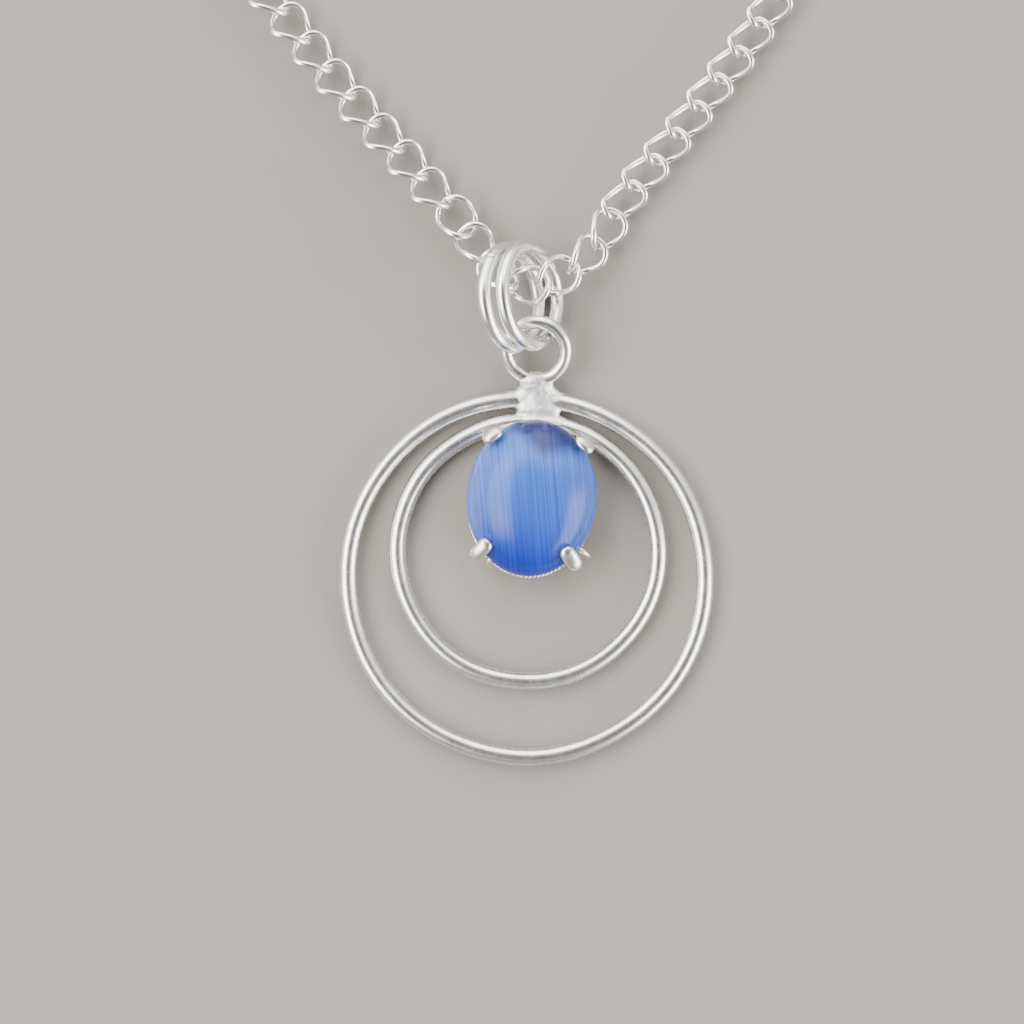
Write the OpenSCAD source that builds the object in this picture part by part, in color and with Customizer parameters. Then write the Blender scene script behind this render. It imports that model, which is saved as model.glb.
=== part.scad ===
// Pendant necklace: two nested wire hoops with a claw-set oval cabochon, hung by two jump rings
// on a twisted curb chain with a lobster clasp. It lies flat on its back: +Z is up out of the
// hoops and +Y runs from the pendant towards the chain.

/* [Hoops] */
// Radius of the outer hoop at the middle of its wire
outer_hoop_r = 13.75; // [12:0.05:15]
// Radius of the inner hoop at the middle of its wire
inner_hoop_r = 10; // [9:0.05:10.5]
// Radius of the round wire of both hoops
hoop_wire_r = 0.69; // [0.5:0.01:0.75]

/* [Eye and jump rings] */
// Radius of the pendant's eye at the middle of its wire
eye_r = 2.3; // [2.2:0.05:2.5]
// Radius of the eye's wire
eye_wire_r = 0.5; // [0.4:0.01:0.55]
// How far the eye is bent up out of the hoops, in degrees
eye_tilt = 20; // [16:1:24]
// Radius of the two jump rings at the middle of their wire
jump_ring_r = 3.77; // [3.6:0.01:3.9]
// Radius of the jump rings' wire
jump_wire_r = 0.55; // [0.45:0.01:0.56]
// How steeply the jump rings stand on the table, in degrees
jump_lean = 56.5; // [52:0.5:60]

/* [Stone and setting] */
// Width of the stone
stone_w = 10; // [9.8:0.1:10.2]
// Length of the stone
stone_l = 12; // [11.8:0.1:12.2]
// Height of the stone's dome
stone_h = 3.6; // [3:0.1:4.5]
// Height of the stone's flat back above the table
stone_z = 1.9; // [1.6:0.1:2.4]
// Turn of the stone and its setting, in degrees
setting_turn = -5; // [-8:1:0]
// Radius of the prongs' round bar
prong_r = 0.55; // [0.4:0.05:0.6]

/* [Chain] */
// Radius of the chain's wire
link_wire_r = 0.265; // [0.2:0.005:0.28]
// Half the length of a link, at the middle of its wire
link_half_l = 1.7; // [1.65:0.01:1.75]
// Half the width of a link, at the middle of its wire
link_half_w = 1.36; // [1.3:0.01:1.4]
// Twist of a link's ends against its own plane, in degrees
link_twist = -46; // [-55:1:-42]
// How far a link leans over about the chain's own line, in degrees
link_roll = 31; // [24:1:36]

/* [Clasp] */
// Radius of the clasp's hook at the middle of its bar
hook_r = 2.5; // [2.4:0.05:2.6]
// Radius of the hook's bar
hook_bar_r = 0.72; // [0.65:0.01:0.75]
// Radius of the end ring at the middle of its wire
end_ring_r = 1.9; // [1.8:0.05:2]
// Radius of the end ring's wire
end_ring_wire_r = 0.4; // [0.35:0.01:0.42]

/* [Hidden] */
$fn = 48;

// Places of the pendant's parts, with the origin under the middle of the pendant and jump rings
outer_hoop_at = [0, -5.6];
inner_hoop_at = [0.12, -3.58];
eye_at = [0.76, 11.82, 2.22];
eye_roll = -5;
stone_at = [0.42, 0.53];
jump_left_at = [-1.14, 15.83];
jump_right_at = [0.29, 16.0];
jump_tilt = 5;
jump_z = jump_wire_r + 0.03 + jump_ring_r * sin(jump_lean);
jump_slit = 2;
left_slit_at = 130;
right_slit_at = -52;

// Solder: the neck below the eye, the pool between the hoops and the spot behind the setting
neck_top = [0.8, 9.5, 1.5];
neck_top_r = 0.72;
neck_left_foot = [0.2, 8.2, 0.62];
neck_right_foot = [1.5, 8.2, 0.62];
neck_foot_r = 0.6;
bridge_at = [0.9, 7.3, 0.1];
bridge_r = 1.35;
bridge_crown_r = 1;
bridge_h = 1.2;
bridge_crown_h = 0.28;
spot_at = [0.55, 5.2, 0.2];
spot_r = 1;
spot_h = 1;

// Setting: two oval bands, given by half width, half length, thickness and height
base_band = [3.5, 4.4, 0.7, 0.7];
base_z = 0.15;
gallery_band = [4.75, 5.75, 0.75, 0.58];
gallery_z = 1.3;
girdle = 0.35;

// Balls a little fatter than the wire cover the joints inside a link
link_ball_r = 1.05 * link_wire_r;

// Junctions between the links of each strand, outwards from the pendant: [x, y, z]
link_z = 1.34;
left_knots = [
    [-1.0, 16.8, 2.25], [-3.15, 18.9, 2.0], [-4.45, 20.9, 1.5], [-6.1, 23.1, link_z],
    [-7.9, 25.2, link_z], [-9.7, 27.3, link_z], [-11.6, 29.3, link_z], [-13.4, 31.4, link_z],
    [-15.2, 33.5, link_z], [-16.9, 35.7, link_z], [-18.6, 37.9, link_z], [-20.3, 40.1, link_z],
    [-21.9, 42.3, link_z], [-23.3, 44.6, link_z], [-24.4, 47.1, link_z], [-25.1, 49.7, link_z],
    [-25.4, 52.4, link_z], [-25.4, 55.1, link_z], [-25.4, 57.8, link_z], [-25.4, 60.5, link_z],
    [-25.4, 63.2, link_z]
];
right_knots = [
    [1.15, 16.8, 2.75], [3.7, 18.2, 2.4], [5.4, 19.9, 1.75], [6.8, 22.2, link_z],
    [8.3, 24.4, link_z], [10.0, 26.4, link_z], [11.7, 28.4, link_z], [13.3, 30.5, link_z],
    [14.9, 32.6, link_z], [16.5, 34.7, link_z], [18.0, 36.9, link_z], [19.4, 39.1, link_z],
    [20.4, 41.6, link_z], [20.2, 44.3, link_z], [18.9, 46.7, link_z], [16.7, 48.3, link_z],
    [14.1, 49.0, link_z], [11.4, 49.2, link_z], [8.7, 49.4, link_z]
];

// The put-away chain is a flat coil of both strands, with the clasp and end ring in its middle
coil_at = [-2.3, 71.4];
coil_r = 25;
coil_h = 2.1;
hole_at = [1.0, 69.5];
hole_r = 11.5;
clasp_notch = [5.6, 81.2, 3.7];
ring_notch = [0.0, 81.3, 3.2];
clasp_end_knots = [[2.2, 85.2, link_z], [4.7, 84.2, link_z], [6.2, 82.1, link_z]];
ring_end_knots = [[-3.4, 82.9, link_z], [-0.8, 82.2, link_z]];

// How far the links beside the jump rings are turned over, where they differ from link_roll
centre_roll = 19;
left_rolls = [25, 27, 11];
right_rolls = [15, 39, 34];

// Clasp, in its own plane: the tail eye is at [0, 0] and the hook opens on the +X side
clasp_ring_r = 1.6;
clasp_ring_wire_r = 0.33;
tail_r = 1.15;
tail_wire_r = 0.5;
hook_y = 4.25;
tip_angle = 62;
pivot_angle = -38;
cheek_r = 1.15;
slot_half = 0.42;
slot_corner = [-1.3, -1.05];
slot_length = 4;
cheek_half = 0.85;
rivet_r = 0.3;
rivet_clearance = 0.04;
lever_half = 0.36;
lever_hub_r = 0.95;
lever_thick = 0.45;
lever_r = hook_r - 0.125;
lever_start = pivot_angle + 14;
lever_turn = 59;
tab_r = 0.4;
tab_at = [hook_r + 0.3, hook_y - 0.5];
groove_z = -0.33;
groove_half = 0.16;
spring_r = 0.63;
spring_wire_r = 0.09;
spring_turns = 2.5;
spring_rise = 0.2;
spring_z = 0.02;
clasp_dip = 4;
clasp_turn = 170;
clasp_tail_at = [6.32, 79.57, 1.27];
clasp_ring_at = [5.93, 80.94, 1.95];
clasp_ring_turn = [-10, 78, 4];
end_ring_at = [-0.31, 81.67, 1.78];
end_ring_turn = [-34, -30, -35];

silver = "#dedcd6";
solder = "#d3d0c8";
stone_blue = "#6489cd";
steel = "#8e9196";

function unit(v) = v / norm(v);

// A circular arc of round wire that leaves p along t and ends at q, cut short by trim at each end
module wire_arc(p, t, q, wire) {
    trim = 0.8;
    chord = q - p;
    across = unit(chord - (chord * t) * t);
    radius = (chord * chord) / (2 * (chord * across));
    middle = p + across * radius;
    turn = 2 * asin(norm(chord) / (2 * radius));
    side = cross(-across, t);
    multmatrix([
        [-across[0], t[0], side[0], middle[0]],
        [-across[1], t[1], side[1], middle[1]],
        [-across[2], t[2], side[2], middle[2]],
        [0, 0, 0, 1]
    ])
        rotate([0, 0, trim])
            rotate_extrude(angle = turn - 2 * trim, $fn = 128)
                translate([radius, 0]) circle(wire);
}

// A twisted curb link along X, centred on the origin: four arcs, with a ball over each joint
module curb_link() {
    for (turn = [0, 180]) {
        rotate([0, 0, turn]) {
            translate([link_half_l, 0, 0]) sphere(link_ball_r);
            translate([0, link_half_w, 0]) sphere(link_ball_r);
            for (flip = [0, 180]) {
                rotate([0, flip, 0])
                    wire_arc([link_half_l, 0, 0], [0, cos(link_twist), sin(link_twist)],
                        [0, link_half_w, 0], link_wire_r);
            }
        }
    }
}

// A link between two junctions, leaning over by roll degrees about the line between them
module link_between(p, q, roll) {
    x = unit(q - p);
    y = unit(cross([0, 0, 1], x));
    z = cross(x, y);
    y2 = cos(roll) * y + sin(roll) * z;
    z2 = cos(roll) * z - sin(roll) * y;
    c = (p + q) / 2;
    multmatrix([
        [x[0], y2[0], z2[0], c[0]],
        [x[1], y2[1], z2[1], c[1]],
        [x[2], y2[2], z2[2], c[2]],
        [0, 0, 0, 1]
    ])
        curb_link();
}

// The links between a row of junctions
module links(knots, rolls = []) {
    for (i = [0:len(knots) - 2]) {
        link_between(knots[i], knots[i + 1], i < len(rolls) ? rolls[i] : link_roll);
    }
}

// A closed round ring about Z
module ring(radius, wire) {
    rotate_extrude($fn = 128) translate([radius, 0]) circle(wire);
}

module outer_hoop() {
    color(silver)
        translate([outer_hoop_at[0], outer_hoop_at[1], hoop_wire_r]) ring(outer_hoop_r, hoop_wire_r);
}

module inner_hoop() {
    color(silver)
        translate([inner_hoop_at[0], inner_hoop_at[1], hoop_wire_r]) ring(inner_hoop_r, hoop_wire_r);
}

module pendant_eye() {
    color(silver) translate(eye_at) rotate([eye_tilt, eye_roll, 0]) ring(eye_r, eye_wire_r);
}

// The drawn-out solder that climbs from the hoops to the lifted eye
module solder_neck() {
    color(solder) hull() {
        translate(neck_top) sphere(neck_top_r, $fn = 24);
        translate(neck_left_foot) sphere(neck_foot_r, $fn = 24);
        translate(neck_right_foot) sphere(neck_foot_r, $fn = 24);
    }
}

// The pool of solder that joins the tops of the two hoops
module solder_bridge() {
    color(solder) translate(bridge_at) {
        cylinder(h = bridge_h, r = bridge_r);
        translate([0, 0, bridge_h]) cylinder(h = bridge_crown_h, r1 = bridge_r, r2 = bridge_crown_r);
    }
}

// Moves the setting's own plane to its place in the pendant
module in_setting() {
    translate([stone_at[0], stone_at[1], 0]) rotate([0, 0, setting_turn]) children();
}

function oval(half_w, half_l, n = 48) =
    [for (i = [0:n - 1]) [half_w * cos(360 * i / n), half_l * sin(360 * i / n)]];

module oval_band(band) {
    linear_extrude(height = band[3]) difference() {
        polygon(oval(band[0], band[1]));
        polygon(oval(band[0] - band[2], band[1] - band[2]));
    }
}

// The lower band of the setting
module setting_base() {
    color(silver) in_setting() translate([0, 0, base_z]) oval_band(base_band);
}

// The band that the stone's edge sits on
module setting_gallery() {
    color(silver) in_setting() translate([0, 0, gallery_z]) oval_band(gallery_band);
}

// The solder that holds the setting's base inside the top of the inner hoop
module setting_solder() {
    color(solder) translate(spot_at) cylinder(h = spot_h, r = spot_r);
}

// Prong feet, shoulders and tips in the setting's plane, for the upper right corner: [x, y]
prong_foot = [2.45, 3.2];
prong_shoulder = [4.15, 4.75];
prong_tip = [3.75, 4.25];
prong_foot_z = 0.6;
prong_shoulder_z = 3.3;
prong_tip_z = 4.1;

// A round bar between two points with a slightly fatter ball at each end
module bar(p, q, r) {
    v = q - p;
    translate(p) sphere(1.06 * r);
    translate(q) sphere(1.06 * r);
    translate(p)
        rotate([0, acos(v[2] / norm(v)), atan2(v[1], v[0])])
            cylinder(h = norm(v), r = r);
}

module prong(sx, sy) {
    foot = [sx * prong_foot[0], sy * prong_foot[1], prong_foot_z];
    shoulder = [sx * prong_shoulder[0], sy * prong_shoulder[1], prong_shoulder_z];
    tip = [sx * prong_tip[0], sy * prong_tip[1], prong_tip_z];
    color(silver) in_setting() {
        bar(foot, shoulder, prong_r);
        bar(shoulder, tip, prong_r);
    }
}

module prong_upper_left() {
    prong(-1, 1);
}

module prong_upper_right() {
    prong(1, 1);
}

module prong_lower_left() {
    prong(-1, -1);
}

module prong_lower_right() {
    prong(1, -1);
}

// The low-domed oval stone: rings of points that follow an ellipse from the girdle to the crown
module cats_eye_stone() {
    sides = 48;
    rings = 9;
    low = [for (p = oval(stone_w / 2, stone_l / 2, sides)) [p[0], p[1], 0]];
    dome = [
        for (k = [0:rings - 1])
            for (p = oval(stone_w / 2 * cos(90 * k / rings), stone_l / 2 * cos(90 * k / rings), sides))
                [p[0], p[1], girdle + (stone_h - girdle) * sin(90 * k / rings)]
    ];
    points = concat(low, dome, [[0, 0, stone_h]]);
    top = len(points) - 1;
    back = [[for (i = [0:sides - 1]) i]];
    wall = [
        for (k = [0:rings - 1])
            for (i = [0:sides - 1])
                [k * sides + i, (k + 1) * sides + i,
                 (k + 1) * sides + (i + 1) % sides, k * sides + (i + 1) % sides]
    ];
    cap = [for (i = [0:sides - 1]) [rings * sides + i, top, rings * sides + (i + 1) % sides]];
    color(stone_blue) in_setting() translate([0, 0, stone_z]) polyhedron(points, concat(back, wall, cap));
}

// A jump ring stands leaning to the left, with its sawn slit turned by slit degrees round it
module jump_ring(at, slit) {
    color(silver)
        translate([at[0], at[1], jump_z])
            rotate([0, 0, jump_tilt])
                rotate([0, jump_lean, 0])
                    rotate([0, 0, slit + jump_slit / 2])
                        rotate_extrude(angle = 360 - jump_slit, $fn = 128)
                            translate([jump_ring_r, 0]) circle(jump_wire_r);
}

module jump_ring_left() {
    jump_ring(jump_left_at, left_slit_at);
}

module jump_ring_right() {
    jump_ring(jump_right_at, right_slit_at);
}

// The link that lies across the middle of the chain, inside the jump rings
module centre_link() {
    color(silver) link_between(left_knots[0], right_knots[0], centre_roll);
}

module chain_left_strand() {
    color(silver) links(left_knots, left_rolls);
}

module chain_right_strand() {
    color(silver) links(right_knots, right_rolls);
}

// The outer shape of the coiled part of the chain
module chain_coil() {
    color(silver) difference() {
        translate([coil_at[0], coil_at[1], 0]) cylinder(h = coil_h, r = coil_r, $fn = 128);
        translate([hole_at[0], hole_at[1], -1]) cylinder(h = coil_h + 2, r = hole_r, $fn = 128);
        translate([clasp_notch[0], clasp_notch[1], -1]) cylinder(h = coil_h + 2, r = clasp_notch[2]);
        translate([ring_notch[0], ring_notch[1], -1]) cylinder(h = coil_h + 2, r = ring_notch[2]);
    }
}

module chain_clasp_end() {
    color(silver) links(clasp_end_knots);
}

module chain_ring_end() {
    color(silver) links(ring_end_knots);
}

// Moves the clasp's own plane to its place
module in_clasp() {
    translate(clasp_tail_at) rotate([-clasp_dip, 0, clasp_turn]) children();
}

pivot = [hook_r * cos(pivot_angle), hook_y + hook_r * sin(pivot_angle), 0];
tip = [hook_r * cos(tip_angle), hook_y + hook_r * sin(tip_angle), 0];

module clasp_ring() {
    color(silver) translate(clasp_ring_at) rotate(clasp_ring_turn) ring(clasp_ring_r, clasp_ring_wire_r);
}

// Tail eye, hook and the two cheeks that hold the lever
module clasp_body() {
    color(silver) in_clasp() {
        ring(tail_r, tail_wire_r);
        difference() {
            union() {
                translate([0, hook_y, 0])
                    rotate([0, 0, tip_angle])
                        rotate_extrude(angle = 360 - tip_angle + pivot_angle, $fn = 128)
                            translate([hook_r, 0]) circle(hook_bar_r);
                translate(tip) sphere(1.06 * hook_bar_r);
                translate([pivot[0], pivot[1], -cheek_half]) cylinder(h = 2 * cheek_half, r = cheek_r);
            }
            translate([pivot[0], pivot[1], -slot_half])
                rotate([0, 0, pivot_angle])
                    translate(slot_corner) cube([slot_length, slot_length, 2 * slot_half]);
            translate([pivot[0], pivot[1], -2]) cylinder(h = 4, r = rivet_r);
        }
    }
}

module clasp_rivet() {
    color(silver) in_clasp()
        translate([pivot[0], pivot[1], -cheek_half]) cylinder(h = 2 * cheek_half, r = rivet_r);
}

// The small coil spring round the rivet, sunk in a groove of the lever's hub
module clasp_spring() {
    sides = 6;
    steps = 30;
    points = [
        for (k = [0:steps])
            for (i = [0:sides - 1])
                let (around = 360 * spring_turns * k / steps)
                let (out = spring_r + spring_wire_r * cos(360 * i / sides))
                    [out * cos(around), out * sin(around),
                     spring_rise * spring_turns * (k / steps - 0.5) + spring_wire_r * sin(360 * i / sides)]
    ];
    wall = [
        for (k = [0:steps - 1])
            for (i = [0:sides - 1])
                [k * sides + i, k * sides + (i + 1) % sides,
                 (k + 1) * sides + (i + 1) % sides, (k + 1) * sides + i]
    ];
    first = [[for (i = [sides - 1:-1:0]) i]];
    last = [[for (i = [0:sides - 1]) steps * sides + i]];
    color(steel) in_clasp()
        translate([pivot[0], pivot[1], spring_z]) polyhedron(points, concat(first, wall, last));
}

module clasp_lever() {
    color(silver) in_clasp() difference() {
        union() {
            translate([0, hook_y, 0])
                rotate([0, 0, lever_start])
                    rotate_extrude(angle = lever_turn, $fn = 128)
                        translate([lever_r, 0]) square([lever_thick, 2 * lever_half], center = true);
            translate([pivot[0], pivot[1], -lever_half]) cylinder(h = 2 * lever_half, r = lever_hub_r);
            translate([tab_at[0], tab_at[1], -lever_half]) cylinder(h = 2 * lever_half, r = tab_r);
        }
        translate([pivot[0], pivot[1], -2]) cylinder(h = 4, r = rivet_r + rivet_clearance);
        translate([pivot[0], pivot[1], groove_z]) difference() {
            cylinder(h = 2, r = spring_r + groove_half);
            translate([0, 0, -1]) cylinder(h = 4, r = spring_r - groove_half);
        }
    }
}

module end_ring() {
    color(silver) translate(end_ring_at) rotate(end_ring_turn) ring(end_ring_r, end_ring_wire_r);
}

outer_hoop();
inner_hoop();
pendant_eye();
solder_neck();
solder_bridge();
setting_base();
setting_gallery();
setting_solder();
prong_upper_left();
prong_upper_right();
prong_lower_left();
prong_lower_right();
cats_eye_stone();
jump_ring_left();
jump_ring_right();
centre_link();
chain_left_strand();
chain_right_strand();
chain_coil();
chain_clasp_end();
chain_ring_end();
clasp_ring();
clasp_body();
clasp_rivet();
clasp_spring();
clasp_lever();
end_ring();
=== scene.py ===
import math
import random

import bmesh
import bpy
from mathutils import Matrix, Vector, noise


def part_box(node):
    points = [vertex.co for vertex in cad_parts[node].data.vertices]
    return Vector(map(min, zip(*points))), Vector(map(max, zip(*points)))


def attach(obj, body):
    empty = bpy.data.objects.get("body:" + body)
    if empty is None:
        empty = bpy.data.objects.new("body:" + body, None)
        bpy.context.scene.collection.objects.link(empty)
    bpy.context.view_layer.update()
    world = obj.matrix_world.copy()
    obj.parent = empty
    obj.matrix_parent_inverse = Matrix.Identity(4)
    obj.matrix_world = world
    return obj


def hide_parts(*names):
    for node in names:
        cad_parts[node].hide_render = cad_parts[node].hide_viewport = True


# A silver pendant necklace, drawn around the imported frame. Everything is in metres, in the frame's own
# axes: +Z is up out of the table and +Y runs from the pendant towards the chain.
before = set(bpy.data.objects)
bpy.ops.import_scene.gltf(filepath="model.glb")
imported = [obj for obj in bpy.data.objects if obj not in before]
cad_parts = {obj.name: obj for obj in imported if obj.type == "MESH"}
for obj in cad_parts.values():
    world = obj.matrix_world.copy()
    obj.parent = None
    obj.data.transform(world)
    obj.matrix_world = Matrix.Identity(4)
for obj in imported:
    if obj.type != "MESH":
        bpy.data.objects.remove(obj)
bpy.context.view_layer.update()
random.seed(7)

MM = 0.001
TAU = 2 * math.pi
UP = Vector((0, 0, 1))


# ---------------------------------------------------------------- camera

VIEW_WIDTH = 78.8 * MM
CAMERA_HEIGHT = 0.5
SENSOR = 36.0


def add_camera():
    """Straight above the pendant, with the part of the chain near it in view."""
    data = bpy.data.cameras.new("camera")
    data.sensor_width = SENSOR
    data.lens = SENSOR * CAMERA_HEIGHT / VIEW_WIDTH
    data.clip_start = 0.01
    camera = bpy.data.objects.new("camera", data)
    camera.location = (-1.08 * MM, -0.56 * MM, CAMERA_HEIGHT)
    bpy.context.scene.collection.objects.link(camera)
    bpy.context.scene.camera = camera


# ---------------------------------------------------------------- mesh helpers


def turned(x=0, y=0, z=0):
    """A turn by degrees about X, then about Y, then about Z."""
    about = [Matrix.Rotation(math.radians(a), 4, axis) for a, axis in ((x, "X"), (y, "Y"), (z, "Z"))]
    return about[2] @ about[1] @ about[0]


def moved(point):
    return Matrix.Translation(Vector(point))


def middle(node):
    """The middle of a CAD node's box."""
    low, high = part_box(node)
    return (low + high) / 2


def carried_frames(points, closed):
    """Two unit vectors across the line at each point, carried along so that they don't twist."""
    count = len(points)
    tangents = []
    for i in range(count):
        ahead = points[(i + 1) % count] if closed or i < count - 1 else points[i]
        behind = points[i - 1] if closed or i > 0 else points[i]
        tangents.append((ahead - behind).normalized())
    across = tangents[0].orthogonal().normalized()
    frames = []
    for t in tangents:
        across = (across - t * across.dot(t)).normalized()
        frames.append([across, t.cross(across)])
    if closed:
        start = frames[0][0]
        last = (frames[-1][0] - tangents[0] * frames[-1][0].dot(tangents[0])).normalized()
        slip = math.atan2(last.cross(start).dot(tangents[0]), last.dot(start))
        for i, (t, (u, v)) in enumerate(zip(tangents, frames)):
            turn = Matrix.Rotation(slip * i / count, 3, t)
            frames[i] = [turn @ u, turn @ v]
    return frames


def add_band(bm, one, two):
    """Faces between two rings of corners."""
    for k in range(len(one)):
        n = (k + 1) % len(one)
        bm.faces.new((one[k], one[n], two[n], two[k]))


def add_sweep(bm, points, section, closed=False, frames=None):
    """Sweeps a section along the points. section(i) gives the corners [(u, v), ...] of ring i."""
    frames = frames or carried_frames(points, closed)
    rings = []
    for i, (p, (u, v)) in enumerate(zip(points, frames)):
        rings.append([bm.verts.new(p + u * a + v * b) for a, b in section(i)])
    for one, two in zip(rings, rings[1:]):
        add_band(bm, one, two)
    if closed:
        add_band(bm, rings[-1], rings[0])
    else:
        bm.faces.new(rings[0][::-1])
        bm.faces.new(rings[-1])


def circle(radius, sides):
    return [(radius * math.cos(TAU * k / sides), radius * math.sin(TAU * k / sides)) for k in range(sides)]


def rounded_box(half_w, half_h, sides, power=4.0):
    """A rectangle with soft corners, as a superellipse."""
    out = []
    for k in range(sides):
        c, s = math.cos(TAU * k / sides), math.sin(TAU * k / sides)
        across = half_w * math.copysign(abs(c) ** (2 / power), c)
        up = half_h * math.copysign(abs(s) ** (2 / power), s)
        out.append((across, up))
    return out


UNEVEN_GRAIN = 400
# The rounded end of a wire: its rings, how far round it goes and how far it reaches, in wire radii.
END_RINGS = 4
END_DEGREES = 80
END_REACH = 0.35


def add_wire(bm, points, radius, sides, closed=False, uneven=0.0):
    """Round wire along the points, with its ends rounded over and its thickness a little uneven."""
    widths = [1 + uneven * noise.noise(p * UNEVEN_GRAIN) for p in points]
    if closed:
        add_sweep(bm, points, lambda i: circle(radius * widths[i], sides), closed=True)
        return
    start_t = (points[0] - points[1]).normalized()
    end_t = (points[-1] - points[-2]).normalized()
    turns = [math.radians(END_DEGREES * k / END_RINGS) for k in range(1, END_RINGS + 1)]
    shrink = [math.cos(a) for a in turns]
    reach = [END_REACH * radius * math.sin(a) for a in turns]
    start = [points[0] + start_t * r for r in reversed(reach)]
    end = [points[-1] + end_t * r for r in reach]
    scale = [*reversed(shrink), *widths, *shrink]
    add_sweep(bm, [*start, *points, *end], lambda i: circle(radius * scale[i], sides))


def arc_points(radius, start, stop, steps):
    """Points of an arc about Z, in degrees; a whole circle leaves out its last point."""
    whole = abs(stop - start) >= 360
    count = steps if whole else steps + 1
    out = []
    for i in range(count):
        a = math.radians(start + (stop - start) * i / steps)
        out.append(Vector((radius * math.cos(a), radius * math.sin(a), 0)))
    return out


HAND_GRAIN = 1.7


def handmade(points, amount, seed):
    """Moves each point a little in or out, as a ring bent by hand."""
    out = []
    for p in points:
        d = p.normalized()
        out.append(p + d * amount * noise.noise(d * HAND_GRAIN + Vector((seed, 0, 0))))
    return out


def placed(matrix, points):
    return [matrix @ p for p in points]


def piece(name, bm, material, body, slot, *nodes, sharp=None):
    """Makes the piece, rides it on its body and puts it in the place of its CAD nodes."""
    bmesh.ops.recalc_face_normals(bm, faces=bm.faces)
    mesh = bpy.data.meshes.new(name)
    bm.to_mesh(mesh)
    bm.free()
    return piece_of_mesh(name, mesh, material, body, slot, *nodes, sharp=sharp)


def piece_of_mesh(name, mesh, material, body, slot, *nodes, sharp=None):
    mesh.materials.clear()
    mesh.materials.append(material)
    mesh.shade_smooth()
    if sharp:
        mesh.set_sharp_from_angle(angle=math.radians(sharp))
    obj = bpy.data.objects.new(name, mesh)
    bpy.context.scene.collection.objects.link(obj)
    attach(obj, body)
    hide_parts(*nodes)
    return obj


# ---------------------------------------------------------------- materials


class Nodes:
    """Short calls for building the nodes of one material or world."""

    def __init__(self, owner, coordinates="Object", shader="Principled BSDF"):
        owner.use_nodes = True
        self.owner = owner
        self.tree = owner.node_tree
        self.shader = self.tree.nodes[shader]
        self.place = self.tree.nodes.new("ShaderNodeTexCoord").outputs[coordinates]

    def add(self, kind, links=(), **values):
        node = self.tree.nodes.new(kind)
        for key, value in values.items():
            setattr(node, key, value)
        for socket, source in dict(links).items():
            self.put(node.inputs[socket], source)
        return node

    def put(self, socket, source):
        if isinstance(source, bpy.types.NodeSocket):
            self.tree.links.new(source, socket)
        else:
            socket.default_value = source

    def mapped(self, scale, turn=0.0, at=(0, 0, 0)):
        """The object's own coordinates, moved to at, turned about Z and scaled."""
        links = {"Vector": self.place, "Location": at, "Rotation": (0, 0, turn)}
        local = self.add("ShaderNodeMapping", links, vector_type="TEXTURE").outputs[0]
        return self.add("ShaderNodeMapping", {"Vector": local, "Scale": scale}).outputs[0]

    def noise(self, scale, detail=3.0, rough=0.5, vector=None):
        links = {"Vector": vector or self.place, "Scale": scale, "Detail": detail, "Roughness": rough}
        return self.add("ShaderNodeTexNoise", links).outputs["Fac"]

    def ramp(self, source, *stops):
        node = self.add("ShaderNodeValToRGB", {"Fac": source})
        elements = node.color_ramp.elements
        while len(elements) < len(stops):
            elements.new(0.5)
        for element, (at, colour) in zip(elements, stops):
            element.position = at
            element.color = (*colour, 1)
        return node.outputs["Color"]

    def spread(self, source, low, high, to_low, to_high, smooth=False):
        links = {"Value": source, "From Min": low, "From Max": high, "To Min": to_low, "To Max": to_high}
        node = self.add("ShaderNodeMapRange", links)
        if smooth:
            node.interpolation_type = "SMOOTHSTEP"
        return node.outputs[0]

    def math(self, operation, a, b):
        node = self.add("ShaderNodeMath", operation=operation)
        self.put(node.inputs[0], a)
        self.put(node.inputs[1], b)
        return node.outputs[0]

    def mix(self, amount, a, b, blend="MIX"):
        node = self.add("ShaderNodeMix", data_type="RGBA", blend_type=blend)
        self.put(node.inputs["Factor"], amount)
        self.put(node.inputs[6], a if isinstance(a, bpy.types.NodeSocket) else (*a, 1))
        self.put(node.inputs[7], b if isinstance(b, bpy.types.NodeSocket) else (*b, 1))
        return node.outputs[2]

    def bump(self, height, distance, strength=1.0, under=None):
        links = {"Height": height, "Distance": distance, "Strength": strength}
        if under is not None:
            links["Normal"] = under
        return self.add("ShaderNodeBump", links).outputs[0]

    def set(self, **values):
        for name, value in values.items():
            self.put(self.shader.inputs[name.replace("_", " ")], value)
        return self.owner


def silver(name, bright, dull, rough_low, rough_high, pits, scratches):
    """Silver whose polish, tone, pits and fine scratches vary over the surface."""
    n = Nodes(bpy.data.materials.new(name))
    cloud = n.noise(420, 4, 0.6)
    smudge = n.noise(1700, 3, 0.55)
    tone = n.ramp(n.mix(0.35, cloud, smudge), (0.32, dull), (0.62, bright))
    scratch_lines = []
    for turn in (0.5, 2.0):
        lines = n.noise(1.0, 2, 0.5, n.mapped((9000, 350, 3000), turn))
        scratch_lines.append(n.spread(lines, 0.60, 0.72, 0, 1, smooth=True))
    lines = n.math("MAXIMUM", *scratch_lines)
    pit = n.spread(n.noise(3800, 2, 0.5), 0.66, 0.80, 0, 1, smooth=True)
    rough = n.spread(n.mix(0.5, cloud, smudge), 0.25, 0.75, rough_low, rough_high)
    rough = n.math("ADD", rough, n.math("MULTIPLY", lines, 0.05))
    waves = n.bump(n.noise(500, 2, 0.5), 0.000004, 0.5)
    scratched = n.bump(lines, -0.0000006, scratches, waves)
    normal = n.bump(pit, -0.000003, pits, scratched)
    tone = n.mix(n.math("MULTIPLY", pit, 0.2), tone, dull)
    return n.set(Base_Color=tone, Metallic=1.0, Roughness=rough, Normal=normal)


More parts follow.
